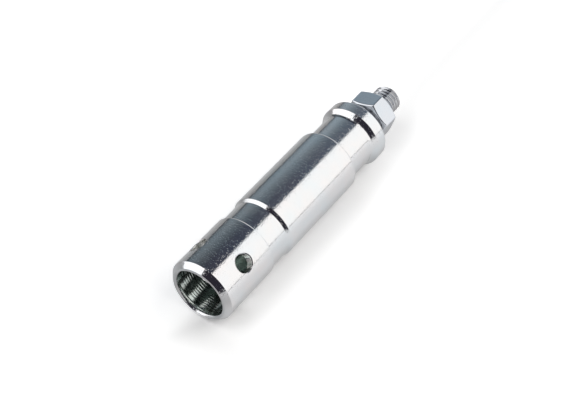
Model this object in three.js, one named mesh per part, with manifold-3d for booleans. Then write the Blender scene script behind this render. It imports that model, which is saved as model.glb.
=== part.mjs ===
// Turned steel spigot with a hollow cross-drilled socket end, a grooved barrel,
// and a threaded stud that carries one hex nut.
//
// Frame: millimetres, +Z up. The spigot lies on its side with its axis along X,
// the open socket end towards -X and the stud towards +X. The origin is on the
// axis, halfway along the whole object.
import * as THREE from "three";
import { mergeVertices } from "three/addons/utils/BufferGeometryUtils.js";
import Module from "manifold-3d";

// ---- driving dimensions, mm ----
const overallLength = 132.9;
const bodyRadius = 14;

// stations along the axis, measured from the open end
const mouthBevelEnd = 2.1;
const frontNeckStart = 29.2;
const frontNeckEnd = 39.8;
const frontShoulderEnd = 41.25;
const rearNeckStart = 85.7;
const rearNeckEnd = 100.75;
const collarStart = 102.85;
const collarEnd = 107.75;
const bodyEnd = 109.65;

// radii of the turned steps
const mouthRimRadius = 12.1;
const frontNeckRadius = 13.15;
const rearNeckRadius = 12.1;
const collarBackRadius = 12.1;
const edgeBreak = 0.35;

// socket bore in the open end, with the cone that its drill leaves at the bottom
const boreRadius = 10.8;
const boreDepth = 36;
const borePointDepth = 4.5;
const mouthInnerBevel = 0.4;

// two cross holes right through the socket walls, square to each other
const crossHoleRadius = 3.7;
const crossHoleRoll = THREE.MathUtils.degToRad(46);
const firstCrossHoleStation = 15.5;
const secondCrossHoleStation = 12.6;

// threaded stud, M12, and the blind hole in the body that it sits in
const studRadius = 5.96;
const studEndBevel = 0.8;
const seatDepth = 24;
const seatPointDepth = 2.5;
const seatClearance = 0.12;
const seatEndGap = 0.3;

// hex nut, M12
const nutAcrossFlats = 18.3;
const nutFrontStation = 113.8;
const nutHeight = 8.8;
const nutBoreRadius = 6.08;
const nutCountersinkRadius = 6.7;
const nutFaceRadius = 8.75;
const nutBevelAngle = THREE.MathUtils.degToRad(30);
const nutCornerRoll = THREE.MathUtils.degToRad(17.1);
const countersinkAngle = THREE.MathUtils.degToRad(30);

// tessellation
const turnedSegments = 72;
const holeSegments = 40;
const mergeDistance = 1e-4;
const cutterMargin = 1;

// ---- helpers ----
const wasm = await Module();
wasm.setup();

const station = (s) => s - overallLength / 2;

// A profile of [station, radius] pairs, turned about the X axis. It runs towards
// +X along the outside, and it is closed from its last pair back to its first.
function turned(profile) {
  const points = profile.map(([s, r]) => new THREE.Vector2(r, station(s)));
  points.push(points[0].clone());
  const geometry = new THREE.LatheGeometry(points, turnedSegments);
  geometry.rotateZ(-Math.PI / 2);
  return geometry;
}

// A solid for cutting and joining: the geometry's shared vertices are merged, and
// the triangles that collapse on the axis are left out.
function toSolid(geometry) {
  geometry.deleteAttribute("normal");
  geometry.deleteAttribute("uv");
  const merged = mergeVertices(geometry, mergeDistance);
  const corners = merged.index.array;
  const triangles = [];
  for (let i = 0; i < corners.length; i += 3) {
    const [a, b, c] = corners.slice(i, i + 3);
    if (a !== b && b !== c && c !== a) triangles.push(a, b, c);
  }
  return new wasm.Manifold(
    new wasm.Mesh({
      numProp: 3,
      vertProperties: new Float32Array(merged.attributes.position.array),
      triVerts: new Uint32Array(triangles),
    }),
  );
}

function toGeometry(solid) {
  const mesh = solid.getMesh();
  const geometry = new THREE.BufferGeometry();
  geometry.setAttribute("position", new THREE.Float32BufferAttribute(mesh.vertProperties, 3));
  geometry.setIndex(Array.from(mesh.triVerts));
  geometry.computeVertexNormals();
  return geometry;
}

// A cylinder across the axis, right through the socket walls. Roll is measured
// from straight up towards -Y.
function crossDrill(s, roll) {
  const drill = new THREE.CylinderGeometry(
    crossHoleRadius,
    crossHoleRadius,
    2 * (bodyRadius + cutterMargin),
    holeSegments,
  );
  drill.rotateX(Math.PI / 2);
  drill.rotateX(roll);
  drill.translate(station(s), 0, 0);
  return drill;
}

// ---- spigot body ----
const seatRadius = studRadius + seatClearance;
const bodyProfile = [
  [0, boreRadius + mouthInnerBevel],
  [0, mouthRimRadius],
  [mouthBevelEnd, bodyRadius],
  [frontNeckStart - edgeBreak, bodyRadius],
  [frontNeckStart, bodyRadius - edgeBreak],
  [frontNeckStart, frontNeckRadius],
  [frontNeckEnd, frontNeckRadius],
  [frontShoulderEnd, bodyRadius],
  [rearNeckStart - edgeBreak, bodyRadius],
  [rearNeckStart, bodyRadius - edgeBreak],
  [rearNeckStart, rearNeckRadius],
  [rearNeckEnd, rearNeckRadius],
  [collarStart, bodyRadius],
  [collarEnd, bodyRadius],
  [bodyEnd, collarBackRadius],
  [bodyEnd, seatRadius],
  [bodyEnd - seatDepth, seatRadius],
  [bodyEnd - seatDepth - seatPointDepth, 0],
  [boreDepth + borePointDepth, 0],
  [boreDepth, boreRadius],
  [mouthInnerBevel, boreRadius],
];
const bodySolid = toSolid(turned(bodyProfile))
  .subtract(toSolid(crossDrill(firstCrossHoleStation, crossHoleRoll)))
  .subtract(toSolid(crossDrill(secondCrossHoleStation, crossHoleRoll - Math.PI / 2)));

// ---- threaded stud ----
const studStart = bodyEnd - seatDepth + seatEndGap;
const studProfile = [
  [studStart, 0],
  [studStart, studRadius - studEndBevel],
  [studStart + studEndBevel, studRadius],
  [overallLength - studEndBevel, studRadius],
  [overallLength, studRadius - studEndBevel],
  [overallLength, 0],
];
const studSolid = toSolid(turned(studProfile));

// ---- hex nut ----
const nutEnd = nutFrontStation + nutHeight;
const cornerRadius = nutAcrossFlats / Math.sqrt(3);
const hexagon = new THREE.Shape();
for (let corner = 0; corner < 6; corner += 1) {
  const angle = (corner * Math.PI) / 3;
  const y = -cornerRadius * Math.sin(angle);
  const z = cornerRadius * Math.cos(angle);
  if (corner === 0) hexagon.moveTo(y, z);
  else hexagon.lineTo(y, z);
}
hexagon.closePath();
const hexPrism = new THREE.ExtrudeGeometry(hexagon, {
  depth: nutHeight,
  bevelEnabled: false,
});
// the section's X and Y become the frame's Y and Z, and the extrusion runs along +X
const alongX = new THREE.Matrix4().makeBasis(
  new THREE.Vector3(0, 1, 0),
  new THREE.Vector3(0, 0, 1),
  new THREE.Vector3(1, 0, 0),
);
hexPrism.applyMatrix4(alongX);
hexPrism.translate(station(nutFrontStation), 0, 0);
hexPrism.rotateX(nutCornerRoll);

// The turned blank that leaves the bevelled corners and the countersunk hole. Its
// two cones meet the faces at the bevel angle and run on past the corners.
const blankReach = cornerRadius + cutterMargin - nutFaceRadius;
const blankRadius = nutFaceRadius + blankReach;
const coneLength = blankReach * Math.tan(nutBevelAngle);
const countersinkDepth = (nutCountersinkRadius - nutBoreRadius) * Math.tan(countersinkAngle);
const nutBlankProfile = [
  [nutFrontStation, nutCountersinkRadius],
  [nutFrontStation, nutFaceRadius],
  [nutFrontStation + coneLength, blankRadius],
  [nutEnd - coneLength, blankRadius],
  [nutEnd, nutFaceRadius],
  [nutEnd, nutCountersinkRadius],
  [nutEnd - countersinkDepth, nutBoreRadius],
  [nutFrontStation + countersinkDepth, nutBoreRadius],
];
const nutSolid = toSolid(hexPrism).intersect(toSolid(turned(nutBlankProfile)));

// ---- scene graph ----
const bodyZinc = new THREE.MeshStandardMaterial({
  color: 0xc9ced3,
  roughness: 0.22,
  metalness: 1,
});
const studZinc = new THREE.MeshStandardMaterial({
  color: 0xbfc3c6,
  roughness: 0.34,
  metalness: 1,
});
const nutZinc = new THREE.MeshStandardMaterial({
  color: 0xb9c2cb,
  roughness: 0.26,
  metalness: 1,
});

function piece(name, solid, material) {
  const mesh = new THREE.Mesh(toGeometry(solid), material);
  mesh.name = name;
  return mesh;
}

const spigot = new THREE.Group();
spigot.add(piece("spigot_body", bodySolid, bodyZinc));
spigot.add(piece("threaded_stud", studSolid, studZinc));
spigot.add(piece("hex_nut", nutSolid, nutZinc));

export default spigot;
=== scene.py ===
"""Looks for the stud-mounted spigot: turned zinc body, threaded stud and hex nut."""
import math

import bmesh
import bpy
from mathutils import Matrix, Vector


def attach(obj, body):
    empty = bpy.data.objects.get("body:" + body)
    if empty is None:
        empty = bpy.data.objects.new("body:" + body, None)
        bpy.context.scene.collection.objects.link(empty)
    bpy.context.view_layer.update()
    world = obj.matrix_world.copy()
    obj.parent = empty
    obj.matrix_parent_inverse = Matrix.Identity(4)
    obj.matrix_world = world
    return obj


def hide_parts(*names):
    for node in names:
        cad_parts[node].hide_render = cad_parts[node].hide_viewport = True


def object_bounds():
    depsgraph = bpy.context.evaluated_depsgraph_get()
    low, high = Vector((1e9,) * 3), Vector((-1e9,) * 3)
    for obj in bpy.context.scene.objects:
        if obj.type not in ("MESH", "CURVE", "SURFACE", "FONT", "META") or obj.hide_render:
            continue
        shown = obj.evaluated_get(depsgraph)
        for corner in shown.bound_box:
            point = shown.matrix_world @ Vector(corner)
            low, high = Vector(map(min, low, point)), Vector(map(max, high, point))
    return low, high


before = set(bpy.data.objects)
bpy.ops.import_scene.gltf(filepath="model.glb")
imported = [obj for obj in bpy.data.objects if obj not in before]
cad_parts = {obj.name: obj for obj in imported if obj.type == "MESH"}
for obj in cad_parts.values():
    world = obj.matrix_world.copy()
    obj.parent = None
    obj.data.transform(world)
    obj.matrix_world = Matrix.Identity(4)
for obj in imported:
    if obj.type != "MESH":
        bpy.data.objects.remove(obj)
CAD_BOX = [list(corner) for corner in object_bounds()]

# ---------------------------------------------------------------- dimensions, mm
MM = 0.001
OVERALL = 132.9

BODY_R = 14.0
NECK_R = 12.1
RIM_R = 12.1
BODY_END = 109.65
BODY_SEGMENTS = 240

BORE_R = 10.8
BORE_DEPTH = 36.0
BORE_RING_STEP = 0.15

CROSS_R = 3.7
CROSS_ROLL = math.radians(46)
CROSS_STATIONS = (15.5, 12.6)
HOLE_SEGMENTS = 96
# the broken edge of a cross hole: distance out from its wall, height over the outside
HOLE_EDGE = [(0.4, 0.0), (0.07, -0.2), (0.0, -0.45)]
FLARE_SLOPE = math.tan(math.radians(59))
FLARE_OVER = 1.0

STUD_R = 5.96
STUD_START = 86.0
STUD_SEGMENTS = 160
SEAT_R = 6.08
PITCH = 1.75
THREAD_DEPTH = 1.07
THREAD_FROM = 108.0
THREAD_CREST = 0.1
THREAD_FLANK = 0.76
THREAD_RING_STEP = 0.0875
STUD_TIP_BEVEL = 1.3

NUT_FRONT = 113.8
NUT_HEIGHT = 8.8
NUT_END = NUT_FRONT + NUT_HEIGHT
NUT_FLATS = 18.3
NUT_FACE_R = 8.75
NUT_BORE_R = 6.08
NUT_SINK_R = 6.7
NUT_SINK_DEPTH = 0.36
NUT_ROLL = math.radians(17.1)
NUT_CONE = 1 / math.tan(math.radians(30))
NUT_SEGMENTS = 288
NUT_BEVEL_RINGS = 30
NUT_RING_STEP = 0.06
CREASE_WIDTH = 0.7
CORNER_POWER = 70


def station(s):
    """The place along X of a distance from the open end."""
    return s - OVERALL / 2


# ---------------------------------------------------------------- camera
CAMERA_AT = Vector((-0.34415, -0.2349, 0.4362))
LOOK = Vector((0.5606, 0.3945, -0.7281)).normalized()
RIGHT = Vector((0.5755, -0.8178, 0.0)).normalized()
LENS = 95.6


def make_camera():
    data = bpy.data.cameras.new("camera")
    data.lens = LENS
    data.sensor_width = 36.0
    data.clip_start = 0.02
    data.clip_end = 20.0
    camera = bpy.data.objects.new("camera", data)
    bpy.context.scene.collection.objects.link(camera)
    turn = Matrix((RIGHT, RIGHT.cross(LOOK).normalized(), -LOOK)).transposed().to_4x4()
    camera.matrix_world = Matrix.Translation(CAMERA_AT) @ turn
    bpy.context.scene.camera = camera
    bpy.context.scene.view_settings.view_transform = "Standard"


make_camera()


# ---------------------------------------------------------------- mesh helpers
def smoothstep(a, b, x):
    """0 at a and 1 at b, smooth between."""
    t = min(1.0, max(0.0, (x - a) / (b - a)))
    return t * t * (3 - 2 * t)


def soft_min(a, b, width):
    """The smaller of two values, rounded over where they are within the width."""
    h = min(1.0, max(0.0, 0.5 + 0.5 * (b - a) / width))
    return b + (a - b) * h - width * h * (1 - h)


def make_object(name, verts, faces, scale=MM):
    mesh = bpy.data.meshes.new(name)
    mesh.from_pydata([(x * scale, y * scale, z * scale) for x, y, z in verts], [], faces)
    mesh.validate()
    obj = bpy.data.objects.new(name, mesh)
    bpy.context.scene.collection.objects.link(obj)
    return obj


def rounded(profile):
    """The closed profile of [station, radius, rounding] with an arc at each corner."""
    out = []
    points = [Vector((s, r)) for s, r, _ in profile]
    for i, (s, r, size) in enumerate(profile):
        if size == 0:
            out.append((s, r))
            continue
        here = points[i]
        back = points[i - 1] - here
        on = points[(i + 1) % len(points)] - here
        a, b = back.normalized(), on.normalized()
        half = a.angle(b) / 2
        reach = min(size / math.tan(half), 0.45 * back.length, 0.45 * on.length)
        size = reach * math.tan(half)
        centre = here + (a + b).normalized() * (size / math.sin(half))
        start, end = here + a * reach - centre, here + b * reach - centre
        steps = 3 if size < 1 else 12
        for k in range(steps + 1):
            out.append(tuple(centre + start.lerp(end, k / steps).normalized() * size))
    return out


def divided(profile, longest, wanted):
    """Adds points along the closed profile's edges where wanted(s0, r0, s1, r1) says so."""
    out = []
    for i, (s0, r0) in enumerate(profile):
        s1, r1 = profile[(i + 1) % len(profile)]
        out.append((s0, r0))
        if wanted(s0, r0, s1, r1):
            steps = max(1, math.ceil(math.hypot(s1 - s0, r1 - r0) / longest))
            for k in range(1, steps):
                t = k / steps
                out.append((s0 + (s1 - s0) * t, r0 + (r1 - r0) * t))
    return out


def turned(name, profile, segments, shift=None):
    """A solid of revolution about X. shift(s, r, angle) may move a point of the surface.

    The angle is measured from straight up towards -Y.
    """
    verts, faces, rings = [], [], []
    for s, r in profile:
        if r < 1e-6:
            rings.append([len(verts)] * segments)
            verts.append((station(s), 0, 0))
            continue
        ring = []
        for k in range(segments):
            angle = 2 * math.pi * k / segments
            s1, r1 = shift(s, r, angle) if shift else (s, r)
            ring.append(len(verts))
            verts.append((station(s1), -r1 * math.sin(angle), r1 * math.cos(angle)))
        rings.append(ring)
    for i, a in enumerate(rings):
        b = rings[(i + 1) % len(rings)]
        for k in range(segments):
            j = (k + 1) % segments
            face = list(dict.fromkeys((a[k], a[j], b[j], b[k])))
            if len(face) > 2:
                faces.append(face)
    obj = make_object(name, verts, faces)
    point_outwards(obj)
    return obj


def point_outwards(obj):
    bm = bmesh.new()
    bm.from_mesh(obj.data)
    bmesh.ops.recalc_face_normals(bm, faces=bm.faces)
    if bm.calc_volume(signed=True) < 0:
        bmesh.ops.reverse_faces(bm, faces=bm.faces)
    bm.to_mesh(obj.data)
    bm.free()


def apply_modifiers(obj):
    bpy.context.view_layer.update()
    graph = bpy.context.evaluated_depsgraph_get()
    mesh = bpy.data.meshes.new_from_object(obj.evaluated_get(graph))
    old = obj.data
    obj.modifiers.clear()
    obj.data = mesh
    bpy.data.meshes.remove(old)


def cut(obj, cutters):
    for cutter in cutters:
        mod = obj.modifiers.new("cut", "BOOLEAN")
        mod.operation = "DIFFERENCE"
        mod.solver = "EXACT"
        mod.object = cutter
        apply_modifiers(obj)
        bpy.data.objects.remove(cutter)


def smooth(obj, degrees):
    """Smooth shading, with creases over the angle and round every flat end."""
    mesh = obj.data
    mesh.shade_smooth()
    mesh.set_sharp_from_angle(angle=math.radians(degrees))
    bm = bmesh.new()
    bm.from_mesh(mesh)
    for edge in bm.edges:
        flats = [abs(face.normal.x) > 0.9999 for face in edge.link_faces]
        if any(flats) and not all(flats):
            edge.smooth = False
    bm.to_mesh(mesh)
    bm.free()
    mod = obj.modifiers.new("weighted", "WEIGHTED_NORMAL")
    mod.keep_sharp = True
    mod.weight = 60
    apply_modifiers(obj)


# ---------------------------------------------------------------- spigot body
BODY_PROFILE = [
    # station, radius, corner rounding
    (0.0, 11.2, 0.08),  # rim, inner edge
    (0.0, RIM_R, 0.12),  # rim, outer edge
    (2.1, BODY_R, 0.2),  # end of the mouth's bevel
    (28.75, BODY_R, 0.2),  # front neck
    (29.2, 13.82, 0.1),
    (29.2, 13.15, 0.12),
    (39.8, 13.15, 0.25),
    (41.25, BODY_R, 0.2),  # barrel
    (85.25, BODY_R, 0.2),
    (85.7, 13.82, 0.1),
    (85.7, NECK_R, 0.2),  # rear neck
    (100.75, NECK_R, 3.0),
    (102.85, BODY_R, 0.2),  # collar
    (107.75, BODY_R, 0.2),
    (BODY_END, 12.1, 0.15),  # seat face
    (BODY_END, SEAT_R, 0.08),
    (85.8, SEAT_R, 0.0),  # hole that holds the stud
    (83.3, 0.0, 0.0),
    (40.5, 0.0, 0.0),  # bottom of the bore
    (BORE_DEPTH, BORE_R, 0.2),
    (0.4, BORE_R, 0.08),  # mouth's inner bevel
]

# Rolls of marks in the bore are in degrees. The burr ends abruptly at its roll.
BURR_ROLL = 28.3
BURR_HEIGHT = 0.38
BURR_DEPTH = (0.3, 0.9)
RIM_DEPTH = 0.3
MARKED_RIM_R = 11.5
DISH_START = (75, 100)
DISH_END = (210, 250)
DISH_DEPTH = (0.4, 2.2)
RIM_DISH = 0.63
DISH_SINK = 0.27
DISH_WIDEN = 0.3

RIDGE_PITCH = 1.2
RIDGE_FROM, RIDGE_TO = 2.9, 26.0
RIDGE_WIDTH = 0.22
RIDGE_HEIGHT = 0.055
FAINT_RIDGE_LOSS = 0.022
FAINT_START = (80, 120)
FAINT_END = (200, 235)


def dish(angle):
    """1 where the deburring tool bit deeper, in the lower half of the rim, and 0 elsewhere."""
    roll = (math.degrees(angle) - BURR_ROLL) % 360
    return smoothstep(*DISH_START, roll) * (1 - smoothstep(*DISH_END, roll))


def ridge(s, angle):
    """Depth of the spiral tool mark. The marks are fainter on the side towards -Y."""
    roll = math.degrees(angle)
    phase = (s / RIDGE_PITCH - angle / (2 * math.pi)) % 1.0
    fade = smoothstep(RIDGE_FROM, RIDGE_FROM + 0.3, s) * (1 - smoothstep(RIDGE_TO - 2, RIDGE_TO, s))
    faint = smoothstep(*FAINT_START, roll) * (1 - smoothstep(*FAINT_END, roll))
    depth = RIDGE_HEIGHT - FAINT_RIDGE_LOSS * faint
    return depth * fade * (1 - smoothstep(0.0, RIDGE_WIDTH, abs(phase - 0.5)))


def burr(s, angle):
    """Height of the raised burr: it starts abruptly at one roll and fades as it winds back."""
    back = (BURR_ROLL - math.degrees(angle)) % 360
    height = BURR_HEIGHT * smoothstep(0, 5, back) * (1 - smoothstep(25, 75, back))
    return height * (1 - smoothstep(*BURR_DEPTH, s))


def bore_shift(s, r, angle):
    """Marks of the tools on the bore's wall and on the flat of the rim."""
    if r > RIM_R + 0.1 or s > BORE_DEPTH - 1 or r < BORE_R - 0.3:
        return s, r
    if s < RIM_DEPTH:
        s += RIM_DISH * max(0.0, RIM_R - r) * dish(angle)
        if r > MARKED_RIM_R:
            return s, r
    else:
        bite = dish(angle) * (1 - smoothstep(*DISH_DEPTH, s))
        s += DISH_SINK * bite
        r += DISH_WIDEN * bite
    return s, r + ridge(s, angle) - burr(s, angle)


def in_bore(s0, r0, s1, r1):
    return abs(r0 - BORE_R) < 0.3 and abs(r1 - BORE_R) < 0.3 and max(s0, s1) < BORE_DEPTH + 1


def cross_drill(s, roll):
    """A drill right through the walls, flared at the outside to break the hole's edge."""
    over, above = HOLE_EDGE[0]
    edge_r = CROSS_R + over
    flare = [(edge_r + FLARE_SLOPE * FLARE_OVER, above + FLARE_OVER)]
    flare += [(CROSS_R + over, above) for over, above in HOLE_EDGE[1:]]
    rings = [(r, above, 1) for r, above in flare] + [(r, above, -1) for r, above in flare[::-1]]
    verts, faces = [], []
    for r, above, side in rings:
        for k in range(HOLE_SEGMENTS):
            angle = 2 * math.pi * k / HOLE_SEGMENTS
            outside = math.sqrt(BODY_R**2 - (edge_r * math.sin(angle)) ** 2)
            verts.append((r * math.cos(angle), r * math.sin(angle), side * (outside + above)))
    for i in range(len(rings) - 1):
        for k in range(HOLE_SEGMENTS):
            a = i * HOLE_SEGMENTS + k
            b = i * HOLE_SEGMENTS + (k + 1) % HOLE_SEGMENTS
            faces.append((a, b, b + HOLE_SEGMENTS, a + HOLE_SEGMENTS))
    faces.append(tuple(range(HOLE_SEGMENTS)))
    faces.append(tuple(range(len(verts) - HOLE_SEGMENTS, len(verts))))
    drill = make_object("drill", verts, faces)
    drill.data.transform(Matrix.Rotation(roll, 4, "X"))
    drill.data.transform(Matrix.Translation((station(s) * MM, 0, 0)))
    point_outwards(drill)
    return drill


def make_body():
    profile = divided(rounded(BODY_PROFILE), BORE_RING_STEP, in_bore)
    body = turned("body", profile, BODY_SEGMENTS, bore_shift)
    first, second = CROSS_STATIONS
    cut(body, [cross_drill(first, CROSS_ROLL), cross_drill(second, CROSS_ROLL - math.pi / 2)])
    smooth(body, 28)
    return body


# ---------------------------------------------------------------- stud
def thread_shift(s, r, angle):
    """External thread cut into the stud; the turns fade out in the bevel at its end."""
    if r < STUD_R - 0.05 or s < THREAD_FROM:
        return s, r
    phase = (s / PITCH - angle / (2 * math.pi)) % 1.0
    across = abs(phase - 0.5) * 2
    root = 1 - min(1.0, max(0.0, (across - THREAD_CREST) / THREAD_FLANK))
    cut_r = STUD_R - THREAD_DEPTH * root
    bevel_r = STUD_R - max(0.0, s - (OVERALL - STUD_TIP_BEVEL))
    return s, min(cut_r, bevel_r)


def make_stud():
    profile = [(STUD_START, 0.0), (STUD_START, 5.0), (STUD_START + 1, STUD_R)]
    rings = math.ceil((OVERALL - THREAD_FROM) / THREAD_RING_STEP)
    profile += [(THREAD_FROM + k * THREAD_RING_STEP, STUD_R) for k in range(rings)]
    profile += [(OVERALL, STUD_R), (OVERALL, 0.0)]
    stud = turned("stud", profile, STUD_SEGMENTS, thread_shift)
    smooth(stud, 75)
    return stud


# ---------------------------------------------------------------- nut
def hexagon_radius(angle):
    """Distance from the axis to the hexagon's side, with slightly rounded corners."""
    total = 0.0
    for k in range(6):
        away = math.cos(angle - NUT_ROLL - math.pi / 6 - k * math.pi / 3)
        if away > 0:
            total += away**CORNER_POWER
    return NUT_FLATS / 2 / total ** (1 / CORNER_POWER)


def nut_shift(s, r, angle):
    """The side of the nut: hexagon, cut back by a cone at both ends with a rounded crease."""
    if r < NUT_FACE_R - 0.01:
        return s, r
    depth = min(s - NUT_FRONT, NUT_END - s)
    return s, soft_min(hexagon_radius(angle), NUT_FACE_R + depth * NUT_CONE, CREASE_WIDTH)


def make_nut():
    depths = [k * NUT_RING_STEP for k in range(NUT_BEVEL_RINGS)]
    profile = [(NUT_FRONT, NUT_SINK_R)]
    profile += [(NUT_FRONT + depth, NUT_FACE_R) for depth in depths]
    profile += [(NUT_END - depth, NUT_FACE_R) for depth in reversed(depths)]
    profile += [(NUT_END, NUT_SINK_R), (NUT_END - NUT_SINK_DEPTH, NUT_BORE_R)]
    profile += [(NUT_FRONT + NUT_SINK_DEPTH, NUT_BORE_R)]
    nut = turned("nut", profile, NUT_SEGMENTS, nut_shift)
    smooth(nut, 22)
    return nut


# ---------------------------------------------------------------- shader nodes
class Graph:
    """Adds shader nodes to a tree and links them."""

    def __init__(self, tree):
        self.nodes, self.links = tree.nodes, tree.links

    def put(self, socket, value):
        """Sets a socket to a number or colour, or links it to another socket."""
        if isinstance(value, (int, float, tuple)):
            socket.default_value = value
        elif value is not None:
            self.links.new(value, socket)

    def node(self, kind, *inputs, **settings):
        node = self.nodes.new(kind)
        for key, value in settings.items():
            setattr(node, key, value)
        for socket, value in zip(node.inputs, inputs):
            self.put(socket, value)
        return node

    def add(self, kind, *inputs, out=0, **settings):
        return self.node(kind, *inputs, **settings).outputs[out]

    def math(self, operation, a, b):
        return self.add("ShaderNodeMath", a, b, operation=operation)

    def step(self, value, low, high):
        """0 at low and 1 at high, smooth between. high may be under low."""
        return self.add(
            "ShaderNodeMapRange", value, low, high, 0.0, 1.0, interpolation_type="SMOOTHSTEP"
        )

    def noise(self, vector, scale, detail, out=0):
        """Output 0 is the value and 1 the colour."""
        node = self.node("ShaderNodeTexNoise")
        self.put(node.inputs["Vector"], vector)
        self.put(node.inputs["Scale"], scale)
        self.put(node.inputs["Detail"], detail)
        return node.outputs[out]

    def colours(self, value, stops):
        node = self.node("ShaderNodeValToRGB", value)
        ramp = node.color_ramp
        while len(ramp.elements) < len(stops):
            ramp.elements.new(0.5)
        for element, (position, colour) in zip(ramp.elements, stops):
            element.position = position
            element.color = (*colour, 1)
        return node.outputs[0]

    def mix(self, factor, a, b):
        node = self.node("ShaderNodeMix", data_type="RGBA")
        for index, value in ((0, factor), (6, a), (7, b)):
            self.put(node.inputs[index], value)
        return node.outputs[2]

    def scale(self, colour, factor):
        node = self.node("ShaderNodeVectorMath", colour, operation="SCALE")
        self.put(node.inputs["Scale"], factor)
        return node.outputs[0]

    def bump(self, height, strength, distance, normal=None):
        node = self.node("ShaderNodeBump")
        self.put(node.inputs["Height"], height)
        self.put(node.inputs["Strength"], strength)
        self.put(node.inputs["Distance"], distance)
        self.put(node.inputs["Normal"], normal)
        return node.outputs[0]


# ---------------------------------------------------------------- materials
PIT_SCALE = 1700
PIT_EDGE = 0.55
PIT_WOBBLE_SCALE = 3200
PIT_WOBBLE = 0.00035
PIT_DEPTH = 0.00005
LINE_DEPTH = 0.00002
LINE_SCALE_ROUND = 40
PATCH_SCALE = 90
NOISE_RANGE = (0.3, 0.7)
ROUGHNESS_SHARES = (0.75, 1.35)
GREENER = (0.93, 0.97, 1.0)
WARMER = (1.0, 0.97, 0.97)


def pits(g, place):
    """Fine speckle of the plating: scattered shallow pits of uneven depth and outline."""
    wobble = g.noise(place, PIT_WOBBLE_SCALE, 2.0, out=1)
    reach = (PIT_WOBBLE, PIT_WOBBLE, PIT_WOBBLE)
    uneven = g.add("ShaderNodeVectorMath", wobble, reach, place, operation="MULTIPLY_ADD")
    cells = g.node("ShaderNodeTexVoronoi", uneven)
    cells.inputs["Scale"].default_value = PIT_SCALE
    away = g.step(cells.outputs["Distance"], 0.0, PIT_EDGE)
    depth = g.add("ShaderNodeSeparateColor", cells.outputs["Color"])
    return g.math("SUBTRACT", g.math("MULTIPLY", away, depth), depth)


def zinc(name, colour, roughness, line_bump, line_scale, speckle):
    material = bpy.data.materials.new(name)
    material.use_nodes = True
    shader = material.node_tree.nodes["Principled BSDF"]
    shader.inputs["Metallic"].default_value = 1.0
    g = Graph(material.node_tree)
    place = g.node("ShaderNodeTexCoord").outputs["Object"]

    # turning marks: noise that changes along the axis and hardly round it
    stretched = g.node("ShaderNodeMapping", place)
    stretched.inputs["Scale"].default_value = (line_scale, LINE_SCALE_ROUND, LINE_SCALE_ROUND)
    marks = g.noise(stretched.outputs[0], 1.0, 3.0)
    least, most = (roughness * share for share in ROUGHNESS_SHARES)
    rough = g.add("ShaderNodeMapRange", marks, *NOISE_RANGE, least, most)
    g.put(shader.inputs["Roughness"], rough)

    # broad patches where the plating is greener, bluer or warmer
    patch = g.noise(place, PATCH_SCALE, 2.0)
    tints = [
        (at, tuple(c * t for c, t in zip(colour, tint)))
        for at, tint in zip(NOISE_RANGE, (GREENER, WARMER))
    ]
    g.put(shader.inputs["Base Color"], g.colours(patch, tints))

    lined = g.bump(marks, line_bump, LINE_DEPTH)
    g.put(shader.inputs["Normal"], g.bump(pits(g, place), speckle, PIT_DEPTH, lined))
    return material


def mark_inside(body, bore_slot, hole_highlight_slot):
    """Gives the bore and the walls of the cross holes their own material slots."""
    for polygon in body.data.polygons:
        x, y, z = (value / MM for value in polygon.center)
        away = math.hypot(y, z)
        if away == 0 or away > BODY_R - 0.05 or x > station(45):
            continue
        # 1 faces straight away from the axis, -1 straight towards it
        outward = (polygon.normal.y * y + polygon.normal.z * z) / away
        if outward >= 0.3 or abs(polygon.normal.x) >= 0.999:
            continue
        if away < BORE_R - 0.2 or (outward < -0.9 and x > station(1.2)):
            polygon.material_index = bore_slot
        # the walls of the cross holes, which take the paler zinc of the painted highlight
        elif outward > -0.6 and x > station(5):
            polygon.material_index = hole_highlight_slot


# ---------------------------------------------------------------- pieces
body, stud, nut = make_body(), make_stud(), make_nut()

body_zinc = zinc("body_zinc", (0.63, 0.635, 0.64), 0.1, 0.5, 2600, 0.8)
stud_zinc = zinc("stud_zinc", (0.52, 0.52, 0.53), 0.1, 0.2, 1500, 0.3)
nut_zinc = zinc("nut_zinc", (0.53, 0.55, 0.58), 0.12, 0.2, 900, 0.3)
bore_zinc = zinc("bore_zinc", (0.52, 0.57, 0.54), 0.14, 0.4, 2600, 0.2)
# painted highlight: a paler, rougher copy of the zinc for the cross holes' walls, so that they show
# as a light crescent
hole_painted_highlight_zinc = zinc("hole_painted_highlight_zinc", (0.9, 0.9, 0.87), 0.26, 0.4, 2600, 0.2)

PIECES = [
    (body, "spigot_body", "spigot", "body_zinc", [body_zinc, bore_zinc, hole_painted_highlight_zinc]),
    (stud, "threaded_stud", "spigot", "stud_zinc", [stud_zinc]),
    (nut, "hex_nut", "nut", "nut_zinc", [nut_zinc]),
]
for piece, node, rides_on, slot, materials in PIECES:
    piece.name = node + "_visual"
    piece.data.materials.clear()
    for material in materials:
        piece.data.materials.append(material)
    for polygon in piece.data.polygons:
        polygon.material_index = 0
    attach(piece, rides_on)
    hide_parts(node)
mark_inside(body, 1, 2)

# ---------------------------------------------------------------- floor
FLOOR_HALF = 3
FLOOR_GAP = 0.00005
FLOOR_SEEN = 0.98
FLOOR_GLOW = 0.78
# Each pair is a place in metres along Y or X where an effect is nothing and where it is full.
# painted shade: where behind the object the floor is painted darker, and by how much
BEHIND_Y, BEHIND_PAINTED_SHADE = (0.03, 0.12), 0.22
# painted light: where the floor glows by emission round the object, and how much
NEAR_Y, NEAR_X, NEAR_PAINTED_LIGHT = (0.0, -0.03), (-0.085, -0.05), 0.42
FAR_Y, FAR_PAINTED_LIGHT = (-0.03, -0.16), 0.2
BEYOND_Y, BEYOND_X, BEYOND_PAINTED_LIGHT = (-0.03, -0.06), (0.01, 0.06), 0.15
CLEAR_Y, CLEAR_X, CLEAR_PAINTED_LIGHT = (-0.004, 0.008), (-0.066, -0.088), 0.32
SEEN_PAINTED_LIGHT = 0.04


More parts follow.
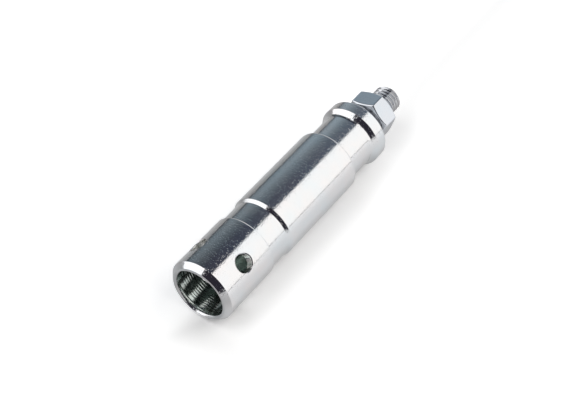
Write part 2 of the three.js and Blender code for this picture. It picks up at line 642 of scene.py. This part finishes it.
def paper_material():
    """Pale paper with painted light and shade: it glows by emission in set areas round the object,
    and is painted darker behind it in the light that it sends on.
    """
    paper = bpy.data.materials.new("paper")
    paper.use_nodes = True
    shader = paper.node_tree.nodes["Principled BSDF"]
    shader.inputs["Roughness"].default_value = 0.9
    shader.inputs["Specular IOR Level"].default_value = 0.0
    shader.inputs["Emission Color"].default_value = (1, 1, 1, 1)
    g = Graph(paper.node_tree)
    x, y, _ = g.node("ShaderNodeSeparateXYZ", g.add("ShaderNodeNewGeometry")).outputs
    # 1 where the floor is looked at straight, 0 where it lights or shows in the object
    seen = g.add("ShaderNodeLightPath")

    # painted shade: in the light that it sends on, the floor is painted a little darker behind the
    # object
    behind = g.math("MULTIPLY", g.step(y, *BEHIND_Y), BEHIND_PAINTED_SHADE)
    grey = g.math("SUBTRACT", FLOOR_GLOW, behind)
    grey = g.add("ShaderNodeCombineColor", grey, grey, grey)
    tone = g.mix(seen, grey, (FLOOR_SEEN, FLOOR_SEEN, FLOOR_SEEN, 1))
    g.put(shader.inputs["Base Color"], tone)

    # painted light: the floor glows beside the object on its -Y side and far out towards -Y; where
    # it is looked at straight it glows a little everywhere, more far towards -Y and past the stud's
    # end, and most on the +Y side and in front of the open end
    near = g.math("MULTIPLY", g.step(y, *NEAR_Y), g.step(x, *NEAR_X))
    near = g.math("MULTIPLY", near, NEAR_PAINTED_LIGHT)
    far = g.math("MULTIPLY", g.step(y, *FAR_Y), FAR_PAINTED_LIGHT)
    painted_glow = g.math("ADD", near, far)
    beyond = g.math("MAXIMUM", g.step(y, *BEYOND_Y), g.step(x, *BEYOND_X))
    clear = g.math("MAXIMUM", g.step(y, *CLEAR_Y), g.step(x, *CLEAR_X))
    seen_painted_glow = g.math(
        "MAXIMUM", g.math("MULTIPLY", beyond, BEYOND_PAINTED_LIGHT), g.math("MULTIPLY", clear, CLEAR_PAINTED_LIGHT)
    )
    seen_painted_glow = g.math("ADD", seen_painted_glow, SEEN_PAINTED_LIGHT)
    painted_glow = g.math("ADD", painted_glow, g.math("MULTIPLY", seen, seen_painted_glow))
    g.put(shader.inputs["Emission Strength"], painted_glow)
    return paper


def make_floor():
    h = FLOOR_HALF
    corners = [(-h, -h, 0), (h, -h, 0), (h, h, 0), (-h, h, 0)]
    floor = make_object("floor", corners, [(0, 1, 2, 3)], 1.0)
    floor.location.z = CAD_BOX[0][2] - FLOOR_GAP
    floor.data.materials.append(paper_material())


make_floor()

# ---------------------------------------------------------------- studio
# Levels and colours of the lamps and of the room, as the object sees them.
BOX_LEVEL = 1.54
BOX = (BOX_LEVEL, BOX_LEVEL * 0.985, BOX_LEVEL * 0.96, 1)
PANEL = (1.8, 1.8, 1.8, 1)
FRONT = (0.035, 0.032, 0.045, 1)
FAR_END = (1.1, 1.1, 1.1, 1)
HORIZON = (0.05, 0.05, 0.06, 1)
PALE_FLOOR = (0.9, 0.9, 0.9, 1)
BACKGROUND = (0.96, 0.96, 0.96, 1)
# Each pair is the part of a direction along X, Y or Z where an area starts and where it is full.
BOX_LEAN, BOX_EDGE, BOX_END = 0.233, (0.02, -0.06), (-0.3, -0.2)
PANEL_LEAN, PANEL_EDGE, PANEL_END = 0.29, (-0.02, 0.02), (0.1, -0.15)
FRONT_EDGE = (-0.2, -0.3)
FAR_END_EDGE = (0.72, 0.86)
HORIZON_EDGE = (0.03, 0.012)
PALE_FLOOR_EDGE = (0.0, -0.01)
# the dark room over the far side, from the horizon up: bluish, and paler low down
ROOM = [
    (0.0, (0.10, 0.11, 0.12)),
    (0.10, (0.17, 0.20, 0.22)),
    (0.20, (0.29, 0.35, 0.39)),
    (0.40, (0.30, 0.36, 0.40)),
    (0.62, (0.20, 0.24, 0.27)),
    (0.77, (0.12, 0.14, 0.17)),
    (0.83, (0.09, 0.10, 0.14)),
    (1.0, (0.09, 0.10, 0.14)),
]
# the room gets paler towards the stud's end, by the slope, within the two limits
ROOM_MIDDLE, ROOM_SLOPE, ROOM_LEAST, ROOM_MOST = 0.56, 6.0, 0.45, 1.6


def make_studio():
    world = bpy.data.worlds.new("studio")
    bpy.context.scene.world = world
    world.use_nodes = True
    world.node_tree.nodes.clear()
    g = Graph(world.node_tree)
    x, y, z = g.node("ShaderNodeSeparateXYZ", g.add("ShaderNodeTexCoord")).outputs

    # right-hand softbox: from just past overhead down to the horizon, on the stud's side
    lean = g.math("ADD", y, g.math("MULTIPLY", z, BOX_LEAN))
    box = g.math("MULTIPLY", g.step(lean, *BOX_EDGE), g.step(x, *BOX_END))
    # left-hand key panel, behind the open end
    lean = g.math("ADD", y, g.math("MULTIPLY", x, PANEL_LEAN))
    panel = g.math("MULTIPLY", g.step(lean, *PANEL_EDGE), g.step(x, *PANEL_END))

    along = g.math("MULTIPLY", g.math("SUBTRACT", x, ROOM_MIDDLE), ROOM_SLOPE)
    along = g.math("MAXIMUM", g.math("ADD", 1.0, along), ROOM_LEAST)
    along = g.math("MINIMUM", along, ROOM_MOST)
    sky = g.scale(g.colours(z, ROOM), along)
    # bright backdrop past the stud, dark studio in front of the open end
    sky = g.mix(g.step(x, *FAR_END_EDGE), sky, FAR_END)
    sky = g.mix(g.step(x, *FRONT_EDGE), sky, FRONT)
    sky = g.mix(box, sky, BOX)
    sky = g.mix(panel, sky, PANEL)
    # a thin dark line where the backdrop meets the floor, and pale floor under it
    sky = g.mix(g.step(z, *HORIZON_EDGE), sky, HORIZON)
    sky = g.mix(g.step(z, *PALE_FLOOR_EDGE), sky, PALE_FLOOR)
    # looked at straight, the studio is one plain backdrop
    sky = g.mix(g.add("ShaderNodeLightPath"), sky, BACKGROUND)
    g.node("ShaderNodeOutputWorld", g.add("ShaderNodeBackground", sky))


make_studio()
